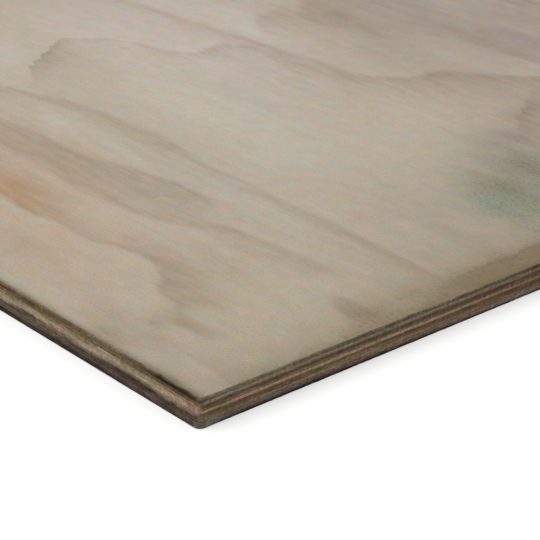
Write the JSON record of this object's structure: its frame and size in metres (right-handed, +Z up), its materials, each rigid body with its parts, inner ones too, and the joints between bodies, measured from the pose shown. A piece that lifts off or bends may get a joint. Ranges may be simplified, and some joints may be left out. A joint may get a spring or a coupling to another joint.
{
  "type": "plywood sheet",
  "caption": "Flat rectangular sheet of softwood plywood: rotary-cut veneers glued face to face, the grain of each square to the next, with square trimmed edges.",
  "frame": {"origin": "centre of the underside, on the floor that the sheet lies on", "axes": "+X along the sheet's length and the face grain, +Y across the sheet, +Z up out of the face veneer"},
  "size_m": [2.44, 1.22, 0.018],
  "materials": {
    "face_veneer": "sanded rotary-cut pine, pale grey-beige with broad flame figure and weather stains",
    "crossband": "sawn veneer edge, grain across the sheet, weathered",
    "core_ply": "sawn veneer edge, grain along the sheet, weathered brown",
    "centre_ply": "sawn veneer edge, grain across the sheet, pale",
    "back_veneer": "unsanded rotary-cut pine, darkened at the edges"
  },
  "bodies": {
    "root": {"face_veneer": "face_veneer", "upper_crossband": "crossband", "upper_core_ply": "core_ply", "centre_ply": "centre_ply", "lower_core_ply": "core_ply", "lower_crossband": "crossband", "back_veneer": "back_veneer"}
  },
  "joints": []
}
